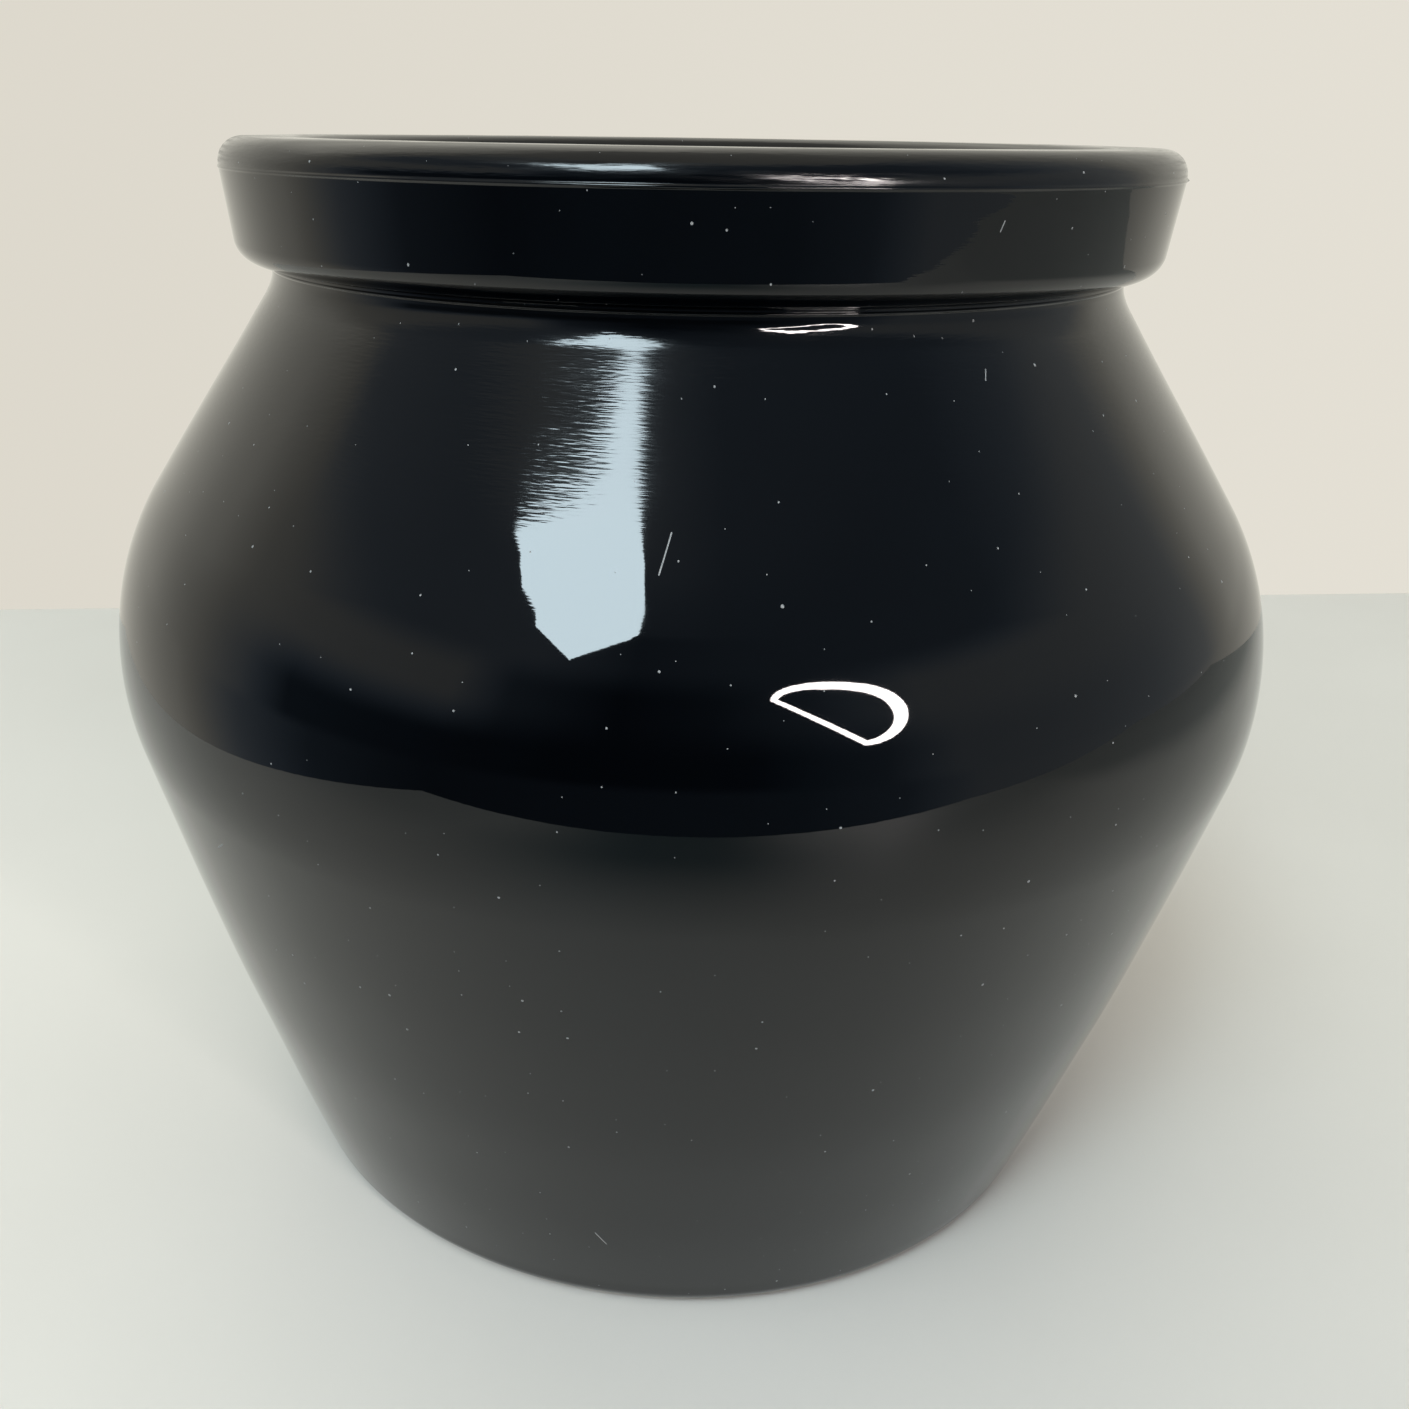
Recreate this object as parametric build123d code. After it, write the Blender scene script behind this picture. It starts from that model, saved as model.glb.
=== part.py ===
from build123d import *
import math
import os

# A lidless, round-bellied pot of hard, polished black ware. A dish and six rings are built up on
# each other the way such a pot is raised: every wall joint is a slanted lap, higher inside than
# outside, and a thick band and a rounded lip finish the mouth. Every piece is a solid of revolution.
# Origin: centre of the foot, on the surface that the pot stands on. Millimetres, +Z up.

# ---- driving dimensions ------------------------------------------------------------------------
HEIGHT = 133.4           # foot to the top of the lip
WALL = 4.5               # wall thickness, the same from the foot to the neck
FLOOR = 6.0              # thickness of the floor

BELLY_R = 74.4           # widest radius
BELLY_Z = 73.2           # height of the widest ring
BELLY_ARC = 35.8         # outside radius of the belly's curve, in section
LOWER_ARC = 750.0        # outside radius of the long, nearly straight lower wall, in section
LOWER_START = 14.0       # degrees below the widest ring where the lower wall takes over
FOOT_ARC = 4.0           # rounding where the wall turns under to the flat foot
FLOOR_ARC = 10.0         # rounding inside, between wall and floor

NECK_R = 52.1            # outside radius of the short neck
NECK_ARC = 5.85          # hollow curve from the shoulder into the neck

RIM_R = 57.3             # outside radius of the band at its upper edge
BAND_TAPER = 7.0         # degrees that the band leans in towards its lower edge
BAND_CORNER = 2.8        # rounding of the band's lower edge
BAND_CORNER_Z = 122.55   # height of that rounding's centre
BAND_UNDER = 15.0        # degrees that the band's underside falls towards the neck

LIP_ARC = 2.9            # rounding of the lip, outside and inside
BEAD_HEIGHT = 0.6        # raised seam line round the rim, just under the lip
BEAD_PROUD = 0.25        # how far the seam line stands out

LAP = 4.5                # how much higher each joint is inside the wall than outside
DISH_EDGE_Z = 14.0       # outside height of the joint between the dish and the lower wall


# ---- section geometry, in the (radius, height) half-plane --------------------------------------
def polar(centre, radius, angle):
    """Point on a circle, at an angle in degrees above the horizontal."""
    turn = math.radians(angle)
    return centre[0] + radius * math.cos(turn), centre[1] + radius * math.sin(turn)


def arc(centre, radius, start, end):
    """Arc of a circle from one angle to another."""
    middle = polar(centre, radius, (start + end) / 2)
    return ThreePointArc(polar(centre, radius, start), middle, polar(centre, radius, end))


def corner(arc_centre, arc_radius, rounding, level):
    """Angle and centre of a rounding that touches both an arc from inside and a flat level."""
    reach = arc_radius - rounding
    angle = -math.degrees(math.asin((arc_centre[1] - level - rounding) / reach))
    return angle, polar(arc_centre, reach, angle)


# Band and lip: the seam line sits at the foot of the lip's outer rounding.
BORE_R = NECK_R - WALL
SEAM_Z = HEIGHT - LIP_ARC - BEAD_HEIGHT
taper = math.radians(BAND_TAPER)
band_corner_c = (
    RIM_R - (SEAM_Z - BAND_CORNER_Z) * math.tan(taper) - BAND_CORNER / math.cos(taper),
    BAND_CORNER_Z,
)
under_edge = polar(band_corner_c, BAND_CORNER, BAND_UNDER - 90)
NOTCH_Z = under_edge[1] - (under_edge[0] - NECK_R) * math.tan(math.radians(BAND_UNDER))

# Belly circle, neck circle, and the straight shoulder that touches both.
belly_c = (BELLY_R - BELLY_ARC, BELLY_Z)
neck_c = (NECK_R + NECK_ARC, NOTCH_Z)
across, rise = neck_c[0] - belly_c[0], neck_c[1] - belly_c[1]
SHOULDER = math.degrees(
    math.atan2(rise, across) - math.acos((BELLY_ARC + NECK_ARC) / math.hypot(across, rise))
)

# Lower wall: a long arc that carries on from the belly's circle, then the foot and floor corners.
lower_c = polar(belly_c, BELLY_ARC - LOWER_ARC, -LOWER_START)
foot_angle, foot_c = corner(lower_c, LOWER_ARC, FOOT_ARC, 0)
floor_angle, floor_c = corner(lower_c, LOWER_ARC - WALL, FLOOR_ARC, FLOOR)

# Joint angles outside, and inside where each joint is one lap higher.
dish_out = -math.degrees(math.asin((lower_c[1] - DISH_EDGE_Z) / LOWER_ARC))
dish_in = dish_out + math.degrees(LAP / LOWER_ARC)
belly_in = -LOWER_START + math.degrees(LAP / (BELLY_ARC - WALL))
neck_in = 180 + SHOULDER - math.degrees(LAP / (NECK_ARC + WALL))

inner_belly, inner_lower, inner_neck = BELLY_ARC - WALL, LOWER_ARC - WALL, NECK_ARC + WALL
shoulder_low = polar(belly_c, BELLY_ARC, SHOULDER)
shoulder_high = polar(neck_c, NECK_ARC, 180 + SHOULDER)
inside_low = polar(belly_c, inner_belly, SHOULDER)
inside_lap = polar(inside_low, LAP, SHOULDER + 90)
inside_high = polar(neck_c, inner_neck, 180 + SHOULDER)


# ---- the pieces, each a closed section turned about the pot's axis ------------------------------
def turned(*edges):
    """Solid of revolution of a closed section."""
    section = make_face(edges)
    return revolve(Plane.XZ * section, axis=Axis.Z, revolution_arc=360)


def base_dish():
    """Flat floor with its edge turned up all round: the piece that the pot is started from."""
    edge_out = polar(lower_c, LOWER_ARC, dish_out)
    edge_in = polar(lower_c, inner_lower, dish_in)
    return turned(
        Line((0, 0), (foot_c[0], 0)),
        arc(foot_c, FOOT_ARC, -90, foot_angle),
        arc(lower_c, LOWER_ARC, foot_angle, dish_out),
        Line(edge_out, edge_in),
        arc(lower_c, inner_lower, dish_in, floor_angle),
        arc(floor_c, FLOOR_ARC, floor_angle, -90),
        Line((floor_c[0], FLOOR), (0, FLOOR)),
        Line((0, FLOOR), (0, 0)),
    )


def lower_wall():
    """Long, slightly bulging wall that opens from the dish to the belly."""
    return turned(
        arc(lower_c, LOWER_ARC, dish_out, -LOWER_START),
        Line(polar(belly_c, BELLY_ARC, -LOWER_START), polar(belly_c, inner_belly, belly_in)),
        arc(belly_c, inner_belly, belly_in, -LOWER_START),
        arc(lower_c, inner_lower, -LOWER_START, dish_in),
        Line(polar(lower_c, inner_lower, dish_in), polar(lower_c, LOWER_ARC, dish_out)),
    )


def belly_wall():
    """Round belly, through the widest ring."""
    return turned(
        arc(belly_c, BELLY_ARC, -LOWER_START, SHOULDER),
        Line(shoulder_low, inside_lap),
        Line(inside_lap, inside_low),
        arc(belly_c, inner_belly, SHOULDER, belly_in),
        Line(polar(belly_c, inner_belly, belly_in), polar(belly_c, BELLY_ARC, -LOWER_START)),
    )


def shoulder_wall():
    """Straight cone that closes in from the belly to the neck."""
    return turned(
        Line(shoulder_low, shoulder_high),
        Line(shoulder_high, polar(neck_c, inner_neck, neck_in)),
        arc(neck_c, inner_neck, neck_in, 180 + SHOULDER),
        Line(inside_high, inside_lap),
        Line(inside_lap, shoulder_low),
    )


def neck_ring():
    """Neck, with the hollow curve at its foot; it runs up inside the band as far as the lip."""
    return turned(
        arc(neck_c, NECK_ARC, 180 + SHOULDER, 180),
        Line((NECK_R, NOTCH_Z), (NECK_R, SEAM_Z)),
        Line((NECK_R, SEAM_Z), (BORE_R, SEAM_Z)),
        Line((BORE_R, SEAM_Z), (BORE_R, NOTCH_Z)),
        arc(neck_c, inner_neck, 180, neck_in),
        Line(polar(neck_c, inner_neck, neck_in), shoulder_high),
    )


def rim_band():
    """Thick band luted round the outside of the neck."""
    band_low = polar(band_corner_c, BAND_CORNER, -BAND_TAPER)
    return turned(
        Line((NECK_R, NOTCH_Z), under_edge),
        arc(band_corner_c, BAND_CORNER, BAND_UNDER - 90, -BAND_TAPER),
        Line(band_low, (RIM_R, SEAM_Z)),
        Line((RIM_R, SEAM_Z), (NECK_R, SEAM_Z)),
        Line((NECK_R, SEAM_Z), (NECK_R, NOTCH_Z)),
    )


def lip_ring():
    """Rounded lip that caps both neck and band, with the raised seam line at its foot."""
    bead_top = (RIM_R, SEAM_Z + BEAD_HEIGHT)
    bead_crest = (RIM_R + BEAD_PROUD, SEAM_Z + BEAD_HEIGHT / 2)
    outer_c = (RIM_R - LIP_ARC, HEIGHT - LIP_ARC)
    inner_c = (BORE_R + LIP_ARC, HEIGHT - LIP_ARC)
    return turned(
        Line((BORE_R, SEAM_Z), (RIM_R, SEAM_Z)),
        ThreePointArc((RIM_R, SEAM_Z), bead_crest, bead_top),
        arc(outer_c, LIP_ARC, 0, 90),
        Line((outer_c[0], HEIGHT), (inner_c[0], HEIGHT)),
        arc(inner_c, LIP_ARC, 90, 180),
        Line((BORE_R, inner_c[1]), (BORE_R, SEAM_Z)),
    )


pieces = {
    "base_dish": base_dish(),
    "lower_wall": lower_wall(),
    "belly_wall": belly_wall(),
    "shoulder_wall": shoulder_wall(),
    "neck_ring": neck_ring(),
    "rim_band": rim_band(),
    "lip_ring": lip_ring(),
}

os.makedirs("parts", exist_ok=True)
for name, solid in pieces.items():
    export_step(solid, f"parts/{name}.step")
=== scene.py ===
import math

import bpy
import numpy as np
from mathutils import Matrix, Vector


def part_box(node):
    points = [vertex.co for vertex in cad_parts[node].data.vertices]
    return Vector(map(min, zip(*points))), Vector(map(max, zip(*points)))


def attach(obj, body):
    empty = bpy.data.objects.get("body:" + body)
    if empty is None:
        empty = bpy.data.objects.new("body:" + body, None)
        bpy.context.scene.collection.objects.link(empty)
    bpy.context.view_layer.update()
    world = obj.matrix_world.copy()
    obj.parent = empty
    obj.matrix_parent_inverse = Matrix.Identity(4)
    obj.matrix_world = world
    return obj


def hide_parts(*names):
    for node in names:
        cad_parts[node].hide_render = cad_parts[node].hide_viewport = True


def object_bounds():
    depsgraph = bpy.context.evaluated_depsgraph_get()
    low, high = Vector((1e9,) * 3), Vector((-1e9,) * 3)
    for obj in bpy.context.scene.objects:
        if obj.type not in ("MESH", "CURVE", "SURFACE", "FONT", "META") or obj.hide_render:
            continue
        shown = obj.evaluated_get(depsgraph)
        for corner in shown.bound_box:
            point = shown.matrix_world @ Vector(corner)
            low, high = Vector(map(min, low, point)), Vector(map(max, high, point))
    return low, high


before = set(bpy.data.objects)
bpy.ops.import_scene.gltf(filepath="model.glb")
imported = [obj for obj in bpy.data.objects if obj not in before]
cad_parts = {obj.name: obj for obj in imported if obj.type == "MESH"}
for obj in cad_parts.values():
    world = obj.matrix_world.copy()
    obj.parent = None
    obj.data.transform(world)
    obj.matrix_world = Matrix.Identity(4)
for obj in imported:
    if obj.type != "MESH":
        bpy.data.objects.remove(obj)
cad_low, cad_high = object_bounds()

# A lidless black pot with a mirror gloss, on a pale board in a soft studio.
# The pot is a dish and six rings, each a closed solid of revolution that replaces its CAD node.
# Section geometry is in millimetres in the (radius, height) half-plane; meshes are in metres.
# +Z is up, the pot's axis is Z, and the main camera looks along +Y.

MM = 0.001

# ---- the pot's section: sizes from the frame, then the sizes of its curves ----------------------
HEIGHT = cad_high.z / MM
BELLY_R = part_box("belly_wall")[1].x / MM
BEAD_PROUD = 0.25
RIM_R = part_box("lip_ring")[1].x / MM - BEAD_PROUD
WALL = 4.5
FLOOR = 6.0
BELLY_Z = 73.2
BELLY_ARC = 35.8
LOWER_ARC = 750.0
LOWER_START = 14.0
FOOT_ARC = 4.0
FLOOR_ARC = 10.0
NECK_R = 52.1
NECK_ARC = 5.85
BAND_TAPER = 7.0
BAND_CORNER = 2.8
BAND_CORNER_Z = 122.55
BAND_UNDER = 15.0
LIP_ARC = 2.9
BEAD_HEIGHT = 0.6
BEAD_SHOWN = 0.5 * BEAD_PROUD
LAP = 4.5
DISH_EDGE_Z = 14.0

# The shown neck is finer than its CAD node: a tight curve over a slack one, and a thin luting bead.
NECK_SHOWN = 52.25
HOLLOW_TOP = 3.0
HOLLOW_LOW = 8.0
HOLLOW_TURN = 17.0
LUTE_LOW = 118.74
LUTE_HEIGHT = 0.46
LUTE_PROUD = 0.10


def polar(centre, radius, angle):
    """Point on a circle, at an angle in degrees above the horizontal."""
    turn = math.radians(angle)
    return centre[0] + radius * math.cos(turn), centre[1] + radius * math.sin(turn)


def corner(arc_centre, arc_radius, rounding, level):
    """Angle and centre of a rounding that touches both an arc from inside and a flat level."""
    reach = arc_radius - rounding
    angle = -math.degrees(math.asin((arc_centre[1] - level - rounding) / reach))
    return angle, polar(arc_centre, reach, angle)


BORE_R = NECK_R - WALL
SEAM_Z = HEIGHT - LIP_ARC - BEAD_HEIGHT
taper = math.radians(BAND_TAPER)
band_corner_c = (
    RIM_R - (SEAM_Z - BAND_CORNER_Z) * math.tan(taper) - BAND_CORNER / math.cos(taper),
    BAND_CORNER_Z,
)
under_edge = polar(band_corner_c, BAND_CORNER, BAND_UNDER - 90)
NOTCH_Z = under_edge[1] - (under_edge[0] - NECK_R) * math.tan(math.radians(BAND_UNDER))

belly_c = (BELLY_R - BELLY_ARC, BELLY_Z)
neck_c = (NECK_R + NECK_ARC, NOTCH_Z)
across, rise = neck_c[0] - belly_c[0], neck_c[1] - belly_c[1]
SHOULDER = math.degrees(
    math.atan2(rise, across) - math.acos((BELLY_ARC + NECK_ARC) / math.hypot(across, rise))
)
lower_c = polar(belly_c, BELLY_ARC - LOWER_ARC, -LOWER_START)
foot_angle, foot_c = corner(lower_c, LOWER_ARC, FOOT_ARC, 0)
floor_angle, floor_c = corner(lower_c, LOWER_ARC - WALL, FLOOR_ARC, FLOOR)
dish_out = -math.degrees(math.asin((lower_c[1] - DISH_EDGE_Z) / LOWER_ARC))
dish_in = dish_out + math.degrees(LAP / LOWER_ARC)
belly_in = -LOWER_START + math.degrees(LAP / (BELLY_ARC - WALL))
neck_in = 180 + SHOULDER - math.degrees(LAP / (NECK_ARC + WALL))
inner_belly, inner_lower, inner_neck = BELLY_ARC - WALL, LOWER_ARC - WALL, NECK_ARC + WALL
shoulder_low = polar(belly_c, BELLY_ARC, SHOULDER)
inside_low = polar(belly_c, inner_belly, SHOULDER)
inside_lap = polar(inside_low, LAP, SHOULDER + 90)
inside_high = polar(neck_c, inner_neck, 180 + SHOULDER)

# centres of the shown neck's two curves: the lower one touches the shoulder's straight line
slack_step = polar((0, 0), HOLLOW_LOW - HOLLOW_TOP, HOLLOW_TURN)
slope = math.radians(SHOULDER)
slack_r = NECK_SHOWN + HOLLOW_TOP + slack_step[0]
slack_z = BELLY_Z + (
    BELLY_ARC + HOLLOW_LOW - math.cos(slope) * (slack_r - belly_c[0])
) / math.sin(slope)
slack_c = (slack_r, slack_z)
tight_c = (slack_r - slack_step[0], slack_z - slack_step[1])
shown_high = polar(slack_c, HOLLOW_LOW, 180 + SHOULDER)
SHOWN_NOTCH_Z = under_edge[1] - (under_edge[0] - NECK_SHOWN) * math.tan(math.radians(BAND_UNDER))

# ---- hand work: how far the surface strays from a perfect turning, in millimetres ---------------
# lobes round the pot, depth, phase
OVAL = ((2, 0.10, 0.4), (3, 0.06, 1.9), (5, 0.025, 4.1))
# wavelength in height, depth, phase
SWELL = ((31.0, 0.035, 0.7), (17.0, 0.014, 2.2))
RINGS = ((1.7, 0.0006, 0.3), (2.9, 0.0010, 2.0), (4.7, 0.0020, 1.1))
SWELL_DRIFT, RING_DRIFT = 0.4, 0.5           # how far a wave climbs and falls round the pot, as a phase
RING_FROM, RING_FULL = 92.0, 108.0
# lobes round the pot, share of the bead's height, phase
BEAD_WAVES = ((3, 0.22, 0.8), (11, 0.13, 0.0), (29, 0.10, 0.0))
NIB_AT, NIB_WIDTH, NIB_PROUD = math.radians(-17), 0.010, 0.30


def stray(theta, z):
    """Radial error at an angle and a height: slightly oval, slightly wavy, ringed near the neck.

    It dies out at the foot and at the top of the lip, which stay flat."""
    out = np.zeros(np.broadcast(theta, z).shape)
    for lobes, depth, phase in OVAL:
        out = out + depth * np.cos(lobes * theta + phase + z / BELLY_Z)
    for length, depth, phase in SWELL:
        drift = SWELL_DRIFT * np.cos(theta + phase)
        out = out + depth * np.sin(2 * np.pi * z / length + phase + drift)
    ringed = np.clip((z - RING_FROM) / (RING_FULL - RING_FROM), 0, 1)
    for length, depth, phase in RINGS:
        drift = RING_DRIFT * np.sin(2 * theta + phase)
        out = out + ringed * depth * np.sin(2 * np.pi * z / length + drift)
    return out * np.clip(z / FOOT_ARC, 0, 1) * np.clip((HEIGHT - z) / LIP_ARC, 0, 1)


# ---- runs of a section: points (radius, height), a finish, and a relief or None ------------------
OUTSIDE, INSIDE, FOOT = 0, 1, 2
AROUND = 288                                 # facets round the pot
COARSE, FINE = 1.2, 0.5                      # row spacing on the inside and on the outside
FINER, TIGHT, TIGHTEST = FINE / 2, FINE / 4, FINE / 6
ARC_ROWS, BEAD_ROWS = 4, 12                  # fewest rows on an arc, and rows on a bead


def line(start, end, step=None, finish=OUTSIDE):
    """Straight run; with no step it is one row of facets, as on a hidden joint face."""
    count = 1 if step is None else max(1, round(math.dist(start, end) / step))
    t = np.linspace(0, 1, count + 1)[:, None]
    return (1 - t) * np.array(start) + t * np.array(end), finish, None


def arc(centre, radius, start, end, step=FINE, finish=OUTSIDE):
    """Run along a circle, between two angles in degrees."""
    count = max(ARC_ROWS, round(abs(math.radians(end - start)) * radius / step))
    turn = np.radians(np.linspace(start, end, count + 1))
    return np.array(centre) + radius * np.stack([np.cos(turn), np.sin(turn)], 1), finish, None


def bead(radius, low, height, proud, nib_proud=0.0):
    """Low ridge on an upright wall that comes and goes a little all round, with a nib at one spot."""
    t = np.linspace(0, 1, BEAD_ROWS + 1)
    crest = np.sin(np.pi * t) ** 2
    points = np.stack([radius + 0 * t, low + height * t], 1)

    def relief(theta):
        uneven = 1
        for lobes, share, phase in BEAD_WAVES:
            uneven = uneven + share * np.sin(lobes * theta + phase)
        apart = np.abs((theta - NIB_AT + np.pi) % (2 * np.pi) - np.pi)
        nib = nib_proud * np.exp(-((apart / NIB_WIDTH) ** 2))
        return crest[:, None] * (proud * uneven + nib)

    return points, OUTSIDE, relief


# ---- closed meshes of revolution ----------------------------------------------------------------
TINY = 1e-9


def turned(name, node, runs):
    """Piece made of the runs turned about Z: a ring, or a dish whose ends meet the axis.

    Each run keeps its own normals, so its ends are crisp edges and its middle is smooth."""
    theta = np.arange(AROUND) * 2 * np.pi / AROUND
    closed = runs[0][0][0][0] > 0
    verts, normals, starts = [], [], []
    rows = 0
    for points, finish, relief in runs:
        radius = points[:, 0][:, None] + 0 * theta
        height = points[:, 1][:, None] + 0 * theta
        # the stray fades out towards the axis, so the floor's middle stays a point
        grown = radius + stray(theta, height) * np.clip(radius / FLOOR_ARC, 0, 1)
        if relief is not None:
            grown = grown + relief(theta)
        grid = np.stack([grown * np.cos(theta), grown * np.sin(theta), height], 2)
        along = np.gradient(grid, axis=0, edge_order=2 if len(points) > 2 else 1)
        ahead, behind = np.roll(grid, -1, axis=1), np.roll(grid, 1, axis=1)
        normal = np.cross(ahead - behind, along)
        size = np.linalg.norm(normal, axis=2, keepdims=True)
        flat = np.array([0, 0, -np.sign(points[-1][0] - points[0][0])])
        normal = np.where(size > TINY, normal / np.maximum(size, TINY), flat)
        starts.append((rows, len(points)))
        verts.append(grid[:-1])
        normals.append((normal, finish))
        rows += len(points) - 1
    if not closed:
        verts.append(grid[-1:])
    verts = np.concatenate(verts)
    total = len(verts)
    place = np.arange(total * AROUND).reshape(total, AROUND)
    quads, loops, finishes = [], [], []
    for (start, count), (normal, finish) in zip(starts, normals):
        for i in range(count - 1):
            low = place[(start + i) % total]
            high = place[(start + i + 1) % total]
            quads.append(np.stack([low, np.roll(low, -1), np.roll(high, -1), high], 1))
            n0, n1 = normal[i], normal[i + 1]
            loops.append(np.stack([n0, np.roll(n0, -1, axis=0), np.roll(n1, -1, axis=0), n1], 1))
            finishes.append(np.full(AROUND, finish))
    quads = np.concatenate(quads)
    loops = np.concatenate(loops)
    finishes = np.concatenate(finishes)
    return build(name, node, verts.reshape(-1, 3) * MM, quads, loops, finishes, place, closed)


def build(name, node, verts, quads, loops, finishes, place, closed):
    """Blender object of the quads, with the turning's own normals.

    A piece that is not closed in itself has its first and last rows on the axis."""
    faces = quads.tolist()
    corners = loops.tolist()
    if not closed:
        # a row on the axis is one point, and the quads beside it are triangles
        centre = {}
        for row in (place[0], place[-1]):
            for v in row:
                centre[int(v)] = int(row[0])
        kept_faces, kept_corners, kept_finish = [], [], []
        for face, corner_normals, finish in zip(faces, corners, finishes):
            merged, merged_normals = [], []
            for v, n in zip(face, corner_normals):
                v = centre.get(v, v)
                if v not in merged:
                    merged.append(v)
                    merged_normals.append(n)
            kept_faces.append(merged)
            kept_corners.append(merged_normals)
            kept_finish.append(finish)
        faces, corners, finishes = kept_faces, kept_corners, kept_finish
        used = sorted({v for face in faces for v in face})
        renumber = {v: i for i, v in enumerate(used)}
        faces = [[renumber[v] for v in face] for face in faces]
        verts = verts[used]
    mesh = bpy.data.meshes.new(name)
    mesh.from_pydata(verts.tolist(), [], faces)
    mesh.polygons.foreach_set("material_index", np.array(finishes, dtype=np.int32))
    mesh.polygons.foreach_set("use_smooth", np.ones(len(faces), dtype=bool))
    mesh.normals_split_custom_set([n for face in corners for n in face])
    piece = bpy.data.objects.new(name, mesh)
    bpy.context.scene.collection.objects.link(piece)
    for material in FINISHES:
        mesh.materials.append(material)
    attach(piece, "root")
    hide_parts(node)
    return piece


# ---- node helpers -------------------------------------------------------------------------------
class Tree:
    """Short spelling for making and joining shader nodes."""

    def __init__(self, owner):
        owner.use_nodes = True
        self.nodes = owner.node_tree.nodes
        self.links = owner.node_tree.links
        self.nodes.clear()

    def add(self, kind, inputs=None, **settings):
        node = self.nodes.new("ShaderNode" + kind)
        for key, value in settings.items():
            setattr(node, key, value)
        for key, value in (inputs or {}).items():
            socket = node.inputs[key]
            if isinstance(value, bpy.types.NodeSocket):
                self.links.new(value, socket)
            else:
                socket.default_value = value
        return node

    def math(self, operation, *values, clamp=False):
        return self.add("Math", dict(enumerate(values)), operation=operation, use_clamp=clamp).outputs[0]

    def band(self, value, low, high, to_low=0.0, to_high=1.0):
        """Smooth step of a value from low to high."""
        inputs = {"Value": value, "From Min": low, "From Max": high, "To Min": to_low, "To Max": to_high}
        node = self.add("MapRange", inputs, interpolation_type="SMOOTHSTEP")
        return node.outputs["Result"]

    def ramp(self, value, stops):
        """Ramp of (place, grey) stops."""
        node = self.add("ValToRGB", {"Fac": value})
        elements = node.color_ramp.elements
        while len(elements) > 1:
            elements.remove(elements[-1])
        for i, (place, grey) in enumerate(stops):
            element = elements[0] if i == 0 else elements.new(place)
            element.position = place
            element.color = (grey, grey, grey, 1)
        return node.outputs["Color"]

    def mix(self, factor, a, b):
        """Colour from a to b; each of the two is a socket or an (r, g, b)."""
        a, b = (x if isinstance(x, bpy.types.NodeSocket) else (*x, 1) for x in (a, b))
        # on a colour Mix node the factor is input 0, the colours are 6 and 7, and the result is output 2
        return self.add("Mix", {0: factor, 6: a, 7: b}, data_type="RGBA").outputs[2]

    def vector(self, operation, a, b):
        """Vector result of joining two vectors."""
        return self.add("VectorMath", {0: a, 1: b}, operation=operation).outputs[0]

    def noise(self, vector, scale, detail=2.0, rough=0.5):
        inputs = {"Vector": vector, "Scale": scale, "Detail": detail, "Roughness": rough}
        return self.add("TexNoise", inputs).outputs["Fac"]

    def around(self, axes):
        """Angle about Z in radians, 0 on the camera's side of the pot and growing towards +X."""
        return self.math("ARCTAN2", axes["X"], self.math("MULTIPLY", axes["Y"], -1.0))

    def principled(self, inputs):
        """Finish a material with its one shader."""
        surface = self.add("BsdfPrincipled", inputs)
        self.add("OutputMaterial", {"Surface": surface.outputs[0]})


# ---- materials of the pot -----------------------------------------------------------------------
UNROLL_R = 65.0              # radius at which the wall is unrolled flat for dust and scratches
# heights in millimetres between which each zone of the wall begins
FAINT_FROM = 84.0
RIPPLE_FROM, RIPPLE_FULL = 98.0, 106.0
NECK_FROM, NECK_FULL = 110.0, 115.5
HOLLOW_FROM, HOLLOW_FULL = 116.4, 117.8
BAND_FROM, BAND_FULL = 119.2, 120.2
LIP_FROM, LIP_FULL = 129.6, 130.6
# scratches and lint: bearing in degrees and height of each end, in millimetres
MARKS = (
    ((-1.95, 97.7), (-1.10, 101.0)),
    ((31.5, 113.6), (31.1, 112.7)),
    ((29.4, 126.5), (29.7, 127.4)),
    ((-7.8, 15.0), (-6.6, 12.9)),
    ((-44.0, 61.0), (-42.6, 62.2)),
    ((118.0, 84.0), (120.5, 80.5)),
    ((-159.0, 52.0), (-161.0, 56.5)),
)
MARK_WIDTH = 0.07
DUST_CELLS = 220.0           # cells per metre of the unrolled wall, some with a speck of dust in them
SPECK_LEAST, SPECK_SPREAD = 0.010, 0.024
DUST_COLOUR, DUST_ROUGH = (0.26, 0.27, 0.27), 0.7
# how strong the turning ripples are: under the shoulder, on it, and changes to that higher up
FAINT_RIPPLE, SHOULDER_RIPPLE, LIP_RIPPLE = (0.015, 0.07), 0.75, 1.3
NECK_GAIN, HOLLOW_GAIN = 1.5, 0.22
RIPPLE_ROUGH, LIP_ROUGH = 0.055, (0.05, 0.20)
FINE_SQUASH = (520.0, 520.0, 4600.0)
BROAD_SQUASH, BROAD_SHARE = (110.0, 110.0, 1500.0), 0.5
STREAK_SQUASH = (90.0, 90.0, 2600.0)
SMEAR_SQUASH, SMEAR_SCALE = (1.0, 1.0, 2.2), 21.0
CLOUD_SCALE = 28.0
PEEL_SCALE, PEEL_SHARE = 420.0, 0.12
GLAZE_IOR = 1.5


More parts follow.
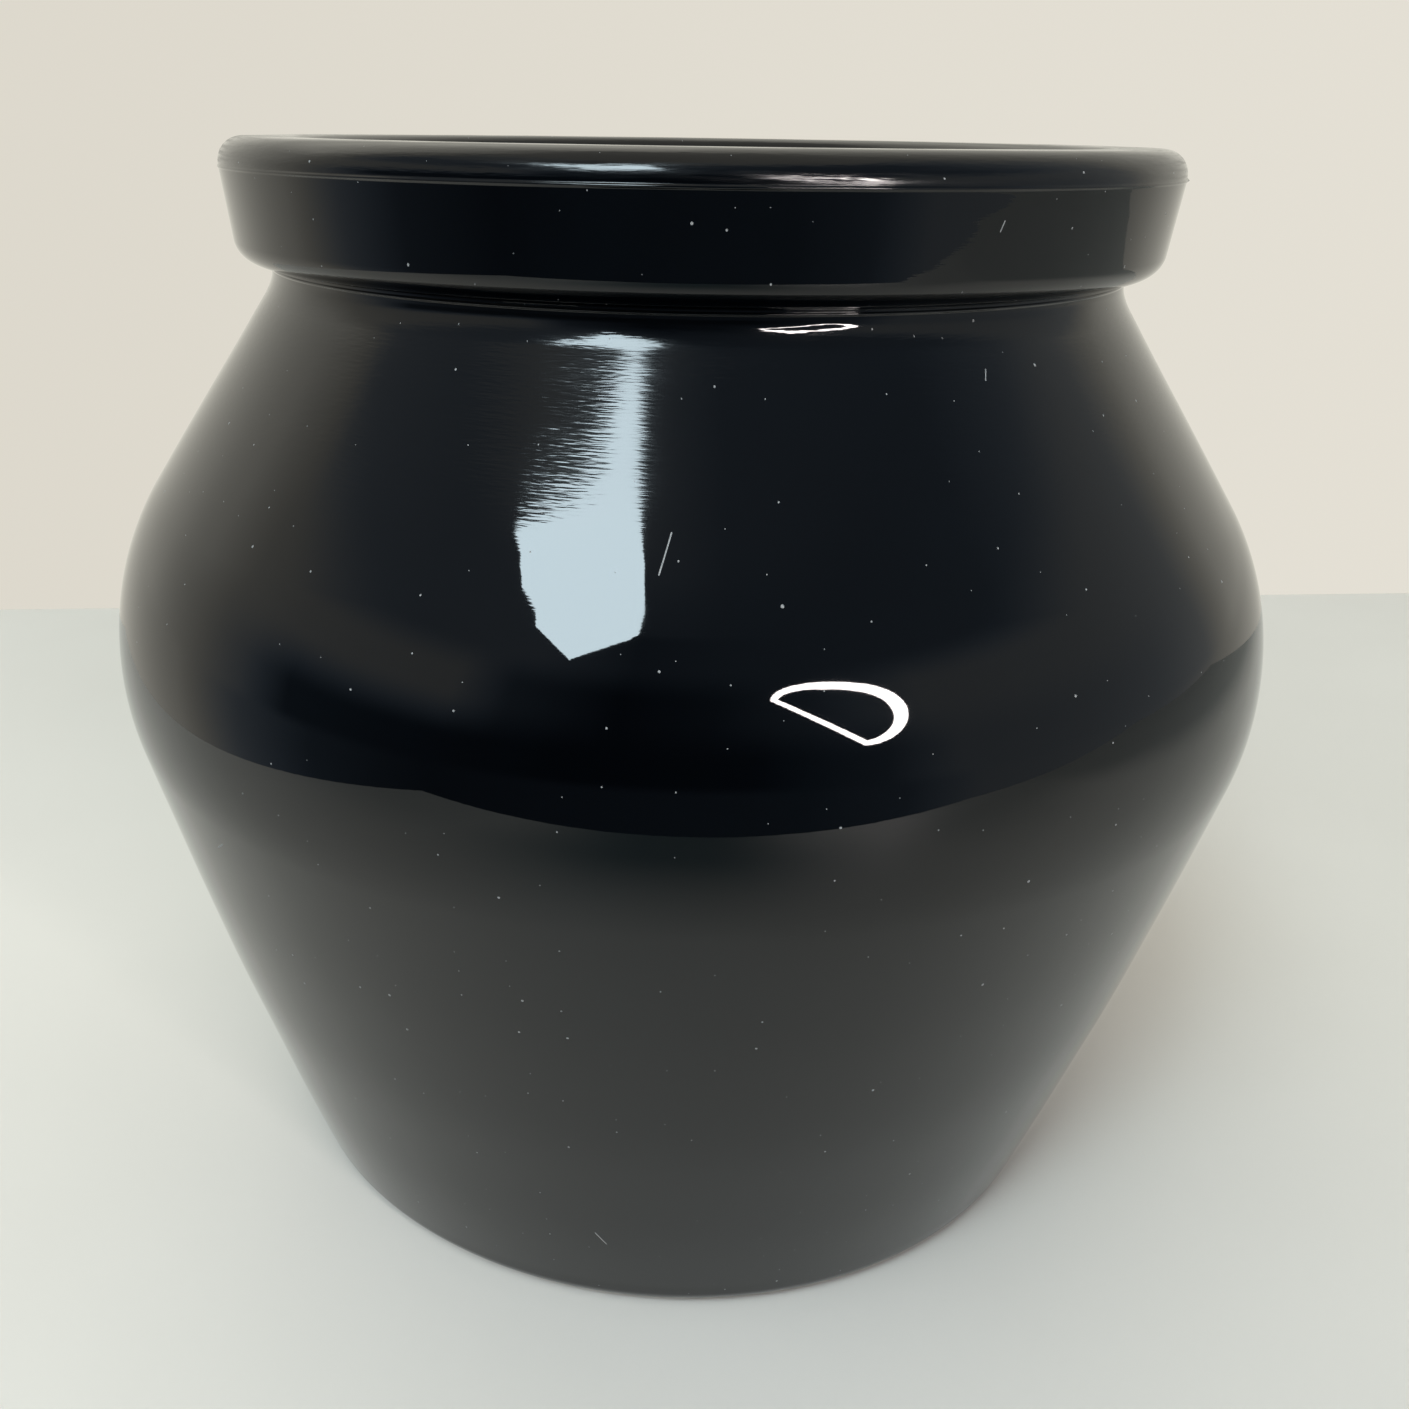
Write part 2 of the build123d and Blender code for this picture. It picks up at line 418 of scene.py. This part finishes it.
def mark(tree, flat, start, end):
    """1 on a short line of the unrolled wall, and 0 elsewhere."""
    a, b = (Vector((math.radians(p[0]) * UNROLL_R * MM, p[1] * MM, 0)) for p in (start, end))
    along = b - a
    offset = tree.vector("SUBTRACT", flat, a)
    reach = tree.add("VectorMath", {0: offset, 1: along / along.length_squared}, operation="DOT_PRODUCT")
    # 0 at the start and 1 at the end, and held there beyond them
    part = tree.math("ADD", reach.outputs["Value"], 0.0, clamp=True)
    back = tree.add("VectorMath", {0: tuple(along), "Scale": part}, operation="SCALE").outputs[0]
    off = tree.add("VectorMath", {0: offset, 1: back}, operation="DISTANCE").outputs["Value"]
    return tree.math("LESS_THAN", off, MARK_WIDTH * MM)


def ware(name, dark, light, gloss, dull, ripple, dust):
    """Black ware: deep blue-black with faint clouding, turning ripples, smears, scratches and dust.

    Roughness runs from gloss to dull, ripple is the bump's depth in metres, and dust is the share of
    the cells that hold a speck."""
    material = bpy.data.materials.new(name)
    tree = Tree(material)
    place = tree.add("TexCoord").outputs["Object"]
    axes = tree.add("SeparateXYZ", {0: place}).outputs
    height = axes["Z"]
    sideways = tree.math("MULTIPLY", tree.around(axes), UNROLL_R * MM)
    lip = tree.band(height, LIP_FROM * MM, LIP_FULL * MM)
    # over the lip, the unrolled height runs on inwards across its flat top
    spread = tree.add("CombineXYZ", {"X": axes["X"], "Y": axes["Y"]}).outputs[0]
    radius = tree.add("VectorMath", {0: spread}, operation="LENGTH").outputs["Value"]
    inward = tree.math("MULTIPLY", lip, tree.math("SUBTRACT", RIM_R * MM, radius))
    flat = tree.add("CombineXYZ", {"X": sideways, "Y": tree.math("ADD", height, inward)}).outputs[0]
    # turning ripples: full on the shoulder, strongest at its top, weak in the hollow, none on the band
    shoulder = tree.band(height, RIPPLE_FROM * MM, RIPPLE_FULL * MM)
    neck = tree.band(height, NECK_FROM * MM, NECK_FULL * MM, 1.0, NECK_GAIN)
    hollow = tree.band(height, HOLLOW_FROM * MM, HOLLOW_FULL * MM, 1.0, HOLLOW_GAIN)
    below = tree.band(height, BAND_FROM * MM, BAND_FULL * MM, 1.0, 0.0)
    upper = tree.math("MULTIPLY", shoulder, tree.math("MULTIPLY", neck, hollow))
    upper = tree.math("MULTIPLY", upper, below)
    faint = tree.band(height, FAINT_FROM * MM, RIPPLE_FROM * MM, *FAINT_RIPPLE)

    clouds = tree.noise(place, CLOUD_SCALE, 4.0, 0.6)
    colour = tree.mix(tree.band(clouds, 0.35, 0.7), dark, light)

    # dust: pale specks, one in some cells of the unrolled wall, of many sizes
    cells = tree.add(
        "TexVoronoi", {"Vector": flat, "Scale": DUST_CELLS, "Randomness": 1.0}, voronoi_dimensions="2D"
    )
    chosen = tree.add("SeparateColor", {0: cells.outputs["Color"]}).outputs
    here = tree.math("GREATER_THAN", chosen["Red"], 1 - dust)
    cubed = tree.math("POWER", chosen["Green"], 3.0)
    size = tree.math("MULTIPLY_ADD", cubed, SPECK_SPREAD, SPECK_LEAST)
    speck = tree.math("MULTIPLY", here, tree.math("LESS_THAN", cells.outputs["Distance"], size))
    for start, end in MARKS:
        speck = tree.math("MAXIMUM", speck, mark(tree, flat, start, end))
    colour = tree.mix(speck, colour, DUST_COLOUR)

    # smears and streaks only change the gloss; the lip is the most handled part
    smear = tree.noise(tree.vector("MULTIPLY", place, SMEAR_SQUASH), SMEAR_SCALE, 5.0, 0.62)
    smear = tree.band(smear, 0.52, 0.74)
    streak = tree.noise(tree.vector("MULTIPLY", place, STREAK_SQUASH), 1.0, 3.0, 0.6)
    streak = tree.band(streak, 0.3, 0.7, *LIP_ROUGH)
    rough = tree.add("MapRange", {"Value": smear, "To Min": gloss, "To Max": dull}).outputs["Result"]
    rough = tree.math("MULTIPLY_ADD", upper, RIPPLE_ROUGH, rough)
    rough = tree.math("ADD", rough, tree.math("MULTIPLY", lip, streak))
    rough = tree.math("MAXIMUM", rough, tree.math("MULTIPLY", speck, DUST_ROUGH))

    # fine level ripples over broader ones, and an even, much fainter orange peel
    fine = tree.noise(tree.vector("MULTIPLY", place, FINE_SQUASH), 1.0, 1.0, 0.5)
    broad = tree.noise(tree.vector("MULTIPLY", place, BROAD_SQUASH), 1.0, 1.0, 0.5)
    relief = tree.math("MULTIPLY_ADD", broad, BROAD_SHARE, fine)
    strong = tree.math("MULTIPLY_ADD", upper, SHOULDER_RIPPLE, faint)
    strong = tree.math("MULTIPLY_ADD", lip, LIP_RIPPLE, strong)
    relief = tree.math("MULTIPLY", relief, strong)
    relief = tree.math("MULTIPLY_ADD", tree.noise(place, PEEL_SCALE), PEEL_SHARE, relief)
    bump = tree.add("Bump", {"Height": relief, "Distance": ripple, "Strength": 1.0}).outputs[0]
    tree.principled({"Base Color": colour, "Roughness": rough, "Normal": bump, "IOR": GLAZE_IOR})
    return material


# in the order of OUTSIDE, INSIDE and FOOT
FINISHES = [
    ware("black_gloss", dark=(0.0001, 0.0004, 0.0009), light=(0.0004, 0.0010, 0.0018),
         gloss=0.02, dull=0.06, ripple=1e-5, dust=0.42),
    ware("black_inside", dark=(0.0012, 0.0018, 0.0026), light=(0.003, 0.0036, 0.0046),
         gloss=0.10, dull=0.24, ripple=2e-5, dust=0.30),
    ware("black_foot", dark=(0.006, 0.006, 0.007), light=(0.014, 0.014, 0.015),
         gloss=0.35, dull=0.55, ripple=2e-5, dust=0.4),
]


# ---- the pot's pieces ---------------------------------------------------------------------------
def base_dish():
    """Floor with its edge turned up, and the foot's rounding."""
    edge_out = polar(lower_c, LOWER_ARC, dish_out)
    edge_in = polar(lower_c, inner_lower, dish_in)
    return turned("pot_base_dish", "base_dish", [
        line((0, 0), (foot_c[0], 0), COARSE, FOOT),
        arc(foot_c, FOOT_ARC, -90, foot_angle),
        arc(lower_c, LOWER_ARC, foot_angle, dish_out),
        line(edge_out, edge_in),
        arc(lower_c, inner_lower, dish_in, floor_angle, COARSE, INSIDE),
        arc(floor_c, FLOOR_ARC, floor_angle, -90, COARSE, INSIDE),
        line((floor_c[0], FLOOR), (0, FLOOR), COARSE, INSIDE),
    ])


def lower_wall():
    """Slightly bulging wall that opens out to the belly."""
    return turned("pot_lower_wall", "lower_wall", [
        arc(lower_c, LOWER_ARC, dish_out, -LOWER_START),
        line(polar(belly_c, BELLY_ARC, -LOWER_START), polar(belly_c, inner_belly, belly_in)),
        arc(belly_c, inner_belly, belly_in, -LOWER_START, COARSE, INSIDE),
        arc(lower_c, inner_lower, -LOWER_START, dish_in, COARSE, INSIDE),
        line(polar(lower_c, inner_lower, dish_in), polar(lower_c, LOWER_ARC, dish_out)),
    ])


def belly_wall():
    """Round belly, through the widest ring."""
    return turned("pot_belly_wall", "belly_wall", [
        arc(belly_c, BELLY_ARC, -LOWER_START, SHOULDER),
        line(shoulder_low, inside_lap),
        line(inside_lap, inside_low, COARSE, INSIDE),
        arc(belly_c, inner_belly, SHOULDER, belly_in, COARSE, INSIDE),
        line(polar(belly_c, inner_belly, belly_in), polar(belly_c, BELLY_ARC, -LOWER_START)),
    ])


def shoulder_wall():
    """Straight cone that closes in to the neck."""
    return turned("pot_shoulder_wall", "shoulder_wall", [
        line(shoulder_low, shown_high, FINE),
        line(shown_high, polar(neck_c, inner_neck, neck_in)),
        arc(neck_c, inner_neck, neck_in, 180 + SHOULDER, COARSE, INSIDE),
        line(inside_high, inside_lap, COARSE, INSIDE),
        line(inside_lap, shoulder_low),
    ])


def neck_ring():
    """Hollow curve, upright neck with its luting bead, and the part hidden in the band."""
    return turned("pot_neck_ring", "neck_ring", [
        arc(slack_c, HOLLOW_LOW, 180 + SHOULDER, 180 + HOLLOW_TURN, TIGHT),
        arc(tight_c, HOLLOW_TOP, 180 + HOLLOW_TURN, 180, TIGHTEST),
        line((NECK_SHOWN, tight_c[1]), (NECK_SHOWN, LUTE_LOW), FINER),
        bead(NECK_SHOWN, LUTE_LOW, LUTE_HEIGHT, LUTE_PROUD),
        line((NECK_SHOWN, LUTE_LOW + LUTE_HEIGHT), (NECK_SHOWN, SHOWN_NOTCH_Z), FINER),
        line((NECK_SHOWN, SHOWN_NOTCH_Z), (NECK_SHOWN, SEAM_Z)),
        line((NECK_SHOWN, SEAM_Z), (BORE_R, SEAM_Z)),
        line((BORE_R, SEAM_Z), (BORE_R, NOTCH_Z), COARSE, INSIDE),
        arc(neck_c, inner_neck, 180, neck_in, COARSE, INSIDE),
        line(polar(neck_c, inner_neck, neck_in), shown_high),
    ])


def rim_band():
    """Thick band round the neck, with a rounded lower corner."""
    band_low = polar(band_corner_c, BAND_CORNER, -BAND_TAPER)
    return turned("pot_rim_band", "rim_band", [
        line((NECK_SHOWN, SHOWN_NOTCH_Z), under_edge, FINE),
        arc(band_corner_c, BAND_CORNER, BAND_UNDER - 90, -BAND_TAPER, TIGHT),
        line(band_low, (RIM_R, SEAM_Z), FINE),
        line((RIM_R, SEAM_Z), (NECK_SHOWN, SEAM_Z)),
        line((NECK_SHOWN, SEAM_Z), (NECK_SHOWN, SHOWN_NOTCH_Z)),
    ])


def lip_ring():
    """Rounded lip, with the seam line and its nib at the foot."""
    outer_c = (RIM_R - LIP_ARC, HEIGHT - LIP_ARC)
    inner_c = (BORE_R + LIP_ARC, HEIGHT - LIP_ARC)
    return turned("pot_lip_ring", "lip_ring", [
        line((BORE_R, SEAM_Z), (RIM_R, SEAM_Z)),
        bead(RIM_R, SEAM_Z, BEAD_HEIGHT, BEAD_SHOWN, NIB_PROUD),
        arc(outer_c, LIP_ARC, 0, 90, TIGHT),
        line((outer_c[0], HEIGHT), (inner_c[0], HEIGHT), FINE),
        arc(inner_c, LIP_ARC, 90, 180, TIGHT),
        line((BORE_R, inner_c[1]), (BORE_R, SEAM_Z), COARSE, INSIDE),
    ])


for make in (base_dish, lower_wall, belly_wall, shoulder_wall, neck_ring, rim_band, lip_ring):
    make()


# ---- stage: a pale board, and a soft studio round it --------------------------------------------
def board():
    """Pale laminate board; its far edge is the horizon, and its near edge is mirrored in the pot."""
    outline = [(-0.262, -0.296), (0.32, -0.297), (1.0, -0.09), (1.0, 0.352), (-0.262, 0.194)]
    thick, edge, gap = 0.018, 0.003, 0.05 * MM
    top = [(x, y, 0.0) for x, y in outline]
    under = [(x, y, -thick) for x, y in outline]
    count = len(outline)
    rims = [(i + count, (i + 1) % count + count, (i + 1) % count, i) for i in range(count)]
    faces = [tuple(range(count)), tuple(reversed(range(count, 2 * count)))] + rims
    mesh = bpy.data.meshes.new("stage_board")
    mesh.from_pydata(top + under, [], faces)
    piece = bpy.data.objects.new("stage_board", mesh)
    bpy.context.scene.collection.objects.link(piece)
    piece.location.z = -gap
    rounded = piece.modifiers.new("rounded", "BEVEL")
    rounded.width = edge
    rounded.segments = 5
    mesh.materials.append(laminate())


def laminate():
    """Warm off-white, faintly mottled, with painted shade that greys it at the front and at the far
    right.
    """
    # painted shade: the last colour is the cool grey that the board is mixed towards, and the next line
    # gives how much at the sides, in the middle and at the far right
    pale, paler, grey = (0.672, 0.655, 0.605), (0.702, 0.685, 0.635), (0.08, 0.12, 0.125)
    painted_shade_sides, painted_shade_middle, painted_shade_right = 0.42, 0.54, 0.5
    grain_depth = 0.00002
    material = bpy.data.materials.new("board_laminate_painted_shade")
    tree = Tree(material)
    place = tree.add("TexCoord").outputs["Object"]
    axes = tree.add("SeparateXYZ", {0: place}).outputs
    mottle = tree.band(tree.noise(place, 9.0, 3.0), 0.3, 0.7)
    colour = tree.mix(mottle, pale, paler)
    # painted shade towards the front edge, most of all in the middle
    middle = tree.math("SUBTRACT", 1.0, tree.band(tree.math("ABSOLUTE", axes["X"]), 0.02, 0.15))
    front = tree.math("SUBTRACT", 1.0, tree.band(axes["Y"], -0.23, -0.07))
    painted_shade = tree.math("MULTIPLY_ADD", middle, painted_shade_middle, painted_shade_sides)
    painted_shade = tree.math("MULTIPLY", front, painted_shade)
    # painted shade at the far right as well
    painted_shade = tree.math("MAXIMUM", painted_shade, tree.band(axes["X"], 0.26, 0.44, 0.0, painted_shade_right))
    # the painted shade is mixed into the board's own colour here
    colour = tree.mix(painted_shade, colour, grey)
    grain = tree.noise(place, 900.0)
    bump = tree.add("Bump", {"Height": grain, "Distance": grain_depth, "Strength": 0.5}).outputs[0]
    tree.principled({"Base Color": colour, "Roughness": 0.5, "Normal": bump})
    return material


def bearing(azimuth, elevation):
    """Unit vector: azimuth from the camera's side of the pot towards +X, in degrees."""
    a, e = math.radians(azimuth), math.radians(elevation)
    return Vector((math.sin(a) * math.cos(e), -math.cos(a) * math.cos(e), math.sin(e)))


GLINT = Vector((0, -0.066, 0.092))    # where the lamps show in the pot, and are measured from


def on_screen(facing, distance, side, rise):
    """Point on an upright plane in front of the pot; side and rise are per metre of distance."""
    out, aside = bearing(facing, 0), bearing(facing + 90, 0)
    return GLINT + distance * (out + aside * side + Vector((0, 0, rise)))


def glow(name, colour, strength):
    """Material that only shines."""
    material = bpy.data.materials.new(name)
    tree = Tree(material)
    light = tree.add("Emission", {"Color": (*colour, 1), "Strength": strength})
    tree.add("OutputMaterial", {"Surface": light.outputs[0]})
    return material


def unseen(lamp):
    """Put a lamp in the scene that the camera itself doesn't see."""
    bpy.context.scene.collection.objects.link(lamp)
    lamp.visible_camera = False


def kite_softbox():
    """Cool kite-shaped softbox, high in front and to the left."""
    facing, distance = -5, 2.0
    cool, strength = (0.78, 0.95, 1.03), 17.0
    # side, rise
    outline = [(-0.89, 1.43), (-0.78, 1.31), (-0.71, 1.21), (-0.60, 1.14), (-0.35, 0.755),
               (-0.23, 0.885), (-0.14, 0.99), (-0.09, 1.10), (-0.11, 1.20), (-0.30, 1.80),
               (-0.41, 1.52), (-0.55, 1.44)]
    mesh = bpy.data.meshes.new("stage_softbox")
    corners = [on_screen(facing, distance, *p) for p in outline]
    mesh.from_pydata(corners, [], [tuple(range(len(outline)))])
    mesh.materials.append(glow("softbox_glow", cool, strength))
    unseen(bpy.data.objects.new("stage_softbox", mesh))


def loop_lamp():
    """Warm tube lamp bent to a D, low in front and to the right: thick bow, thin string."""
    facing, distance, tube = 30, 1.5, 0.042
    warm, strength = (1.0, 0.92, 0.90), 42.0
    # side, rise, thickness
    knots = [(-0.225, 0.49, 0.45), (-0.04, 0.55, 0.8), (0.19, 0.35, 1.0), (0.055, 0.165, 0.5)]
    curve = bpy.data.curves.new("stage_loop_lamp", "CURVE")
    curve.dimensions = "3D"
    curve.bevel_depth = tube
    curve.bevel_resolution = 4
    curve.resolution_u = 24
    spline = curve.splines.new("BEZIER")
    spline.bezier_points.add(len(knots) - 1)
    for point, (side, rise, thick) in zip(spline.bezier_points, knots):
        point.co = on_screen(facing, distance, side, rise)
        point.radius = thick
        point.handle_left_type = point.handle_right_type = "AUTO"
    string_ends = spline.bezier_points[0], spline.bezier_points[-1]
    spline.use_cyclic_u = True
    string_ends[0].handle_left_type = "VECTOR"
    string_ends[1].handle_right_type = "VECTOR"
    curve.materials.append(glow("lamp_glow", warm, strength))
    unseen(bpy.data.objects.new("stage_loop_lamp", curve))


def board_fill():
    """Soft lamp over the board's front, kept out of the pot's gloss."""
    azimuth, elevation, distance = -30, 52, 0.55
    data = bpy.data.lights.new("stage_board_fill", "AREA")
    data.size = 0.3
    data.energy = 0.9
    data.color = (0.95, 0.98, 1.0)
    lamp = bpy.data.objects.new("stage_board_fill", data)
    way = bearing(azimuth, elevation)
    lamp.location = way * distance
    lamp.rotation_euler = way.to_track_quat("Z", "Y").to_euler()
    lamp.visible_glossy = False
    unseen(lamp)


def studio():
    """World light: bright behind and beside the pot, dark behind the camera, cooler where it is dim.

    The camera itself sees a plain cream wall."""
    zenith = (0.55, 0.55, 0.55)
    cool, warm = (0.80, 1.0, 1.25), (1.03, 1.0, 0.88)
    wall_left, wall_right = (0.725, 0.69, 0.61), (0.775, 0.74, 0.66)
    world = bpy.data.worlds.new("studio")
    bpy.context.scene.world = world
    tree = Tree(world)
    way = tree.add("TexCoord").outputs["Generated"]
    axes = tree.add("SeparateXYZ", {0: way}).outputs
    around = tree.math("MULTIPLY_ADD", tree.around(axes), 0.5 / math.pi, 0.5)
    up = tree.math("MULTIPLY", tree.math("ARCSINE", axes["Z"]), 180 / math.pi)

    def belt(stops):
        """Brightness all round at one height: (azimuth as in bearing(), grey) stops."""
        return tree.ramp(around, [((a + 180) / 360, shade) for a, shade in stops])

    under = belt([(-180, .80), (-135, .78), (-108, .68), (-88, .30), (-70, .11), (-45, .05),
                  (22, .08), (40, .14), (54, .33), (96, .38), (130, .66), (180, .80)])
    low = belt([(-180, .80), (-125, .80), (-104, .60), (-88, .36), (-76, .07), (-20, .02), (14, .03),
                (36, .12), (50, .32), (96, .36), (112, .42), (126, .72), (180, .80)])
    middle = belt([(-180, .80), (-112, .80), (-98, .55), (-80, .47), (-44, .42), (-33, .13),
                   (-12, .03), (6, .06), (24, .15), (45, .38), (112, .40), (128, .66), (180, .80)])
    high = belt([(-180, 1.3), (-118, 1.3), (-94, .30), (-60, .25), (-30, .26), (-10, .11), (30, .15),
                 (70, .17), (92, .27), (124, .50), (180, 1.0)])
    top = belt([(-180, 1.3), (-118, 1.2), (-90, .38), (-50, .42), (-10, .30), (10, .19), (70, .17),
                (110, .42), (180, 1.0)])
    # elevations in degrees between which each belt gives way to the next
    shade = under
    for start, full, belt_above in (
        (-6, -2, low), (5, 20, middle), (25, 36, high), (44, 52, top), (58, 70, zenith)
    ):
        shade = tree.mix(tree.band(up, start, full), shade, belt_above)
    tint = tree.mix(tree.band(shade, 0.10, 0.6), cool, warm)
    lit = tree.vector("MULTIPLY", shade, tint)
    seen = tree.mix(tree.band(axes["X"], -0.5, 0.5), wall_left, wall_right)
    rays = tree.add("LightPath").outputs["Is Camera Ray"]
    colour = tree.mix(rays, lit, seen)
    back = tree.add("Background", {"Color": colour, "Strength": 1.0})
    tree.add("OutputWorld", {"Surface": back.outputs[0]})


# ---- camera -------------------------------------------------------------------------------------
def main_camera():
    """Close, slightly above the rim, tipped down, and turned a little to the left of the pot."""
    picture, focal_px, centre_x = 1409, 1400, 625
    stand_off, eye_height = 186.22, 135.01
    pitch, yaw, roll = math.radians(22.461), math.radians(-2.421), math.radians(0.819)
    data = bpy.data.cameras.new("camera")
    data.sensor_width = 36.0
    data.lens = data.sensor_width * focal_px / picture
    data.shift_x = 0.5 - centre_x / picture
    data.clip_start = 0.01
    data.clip_end = 50
    camera = bpy.data.objects.new("camera", data)
    bpy.context.scene.collection.objects.link(camera)
    turn = Matrix.Rotation(-yaw, 4, "Z") @ Matrix.Rotation(math.pi / 2 - pitch, 4, "X")
    stand = Matrix.Translation((0, -stand_off * MM, eye_height * MM))
    camera.matrix_world = stand @ turn @ Matrix.Rotation(roll, 4, "Z")
    bpy.context.scene.camera = camera


board()
kite_softbox()
loop_lamp()
board_fill()
studio()
main_camera()
bpy.context.scene.view_settings.view_transform = "Standard"
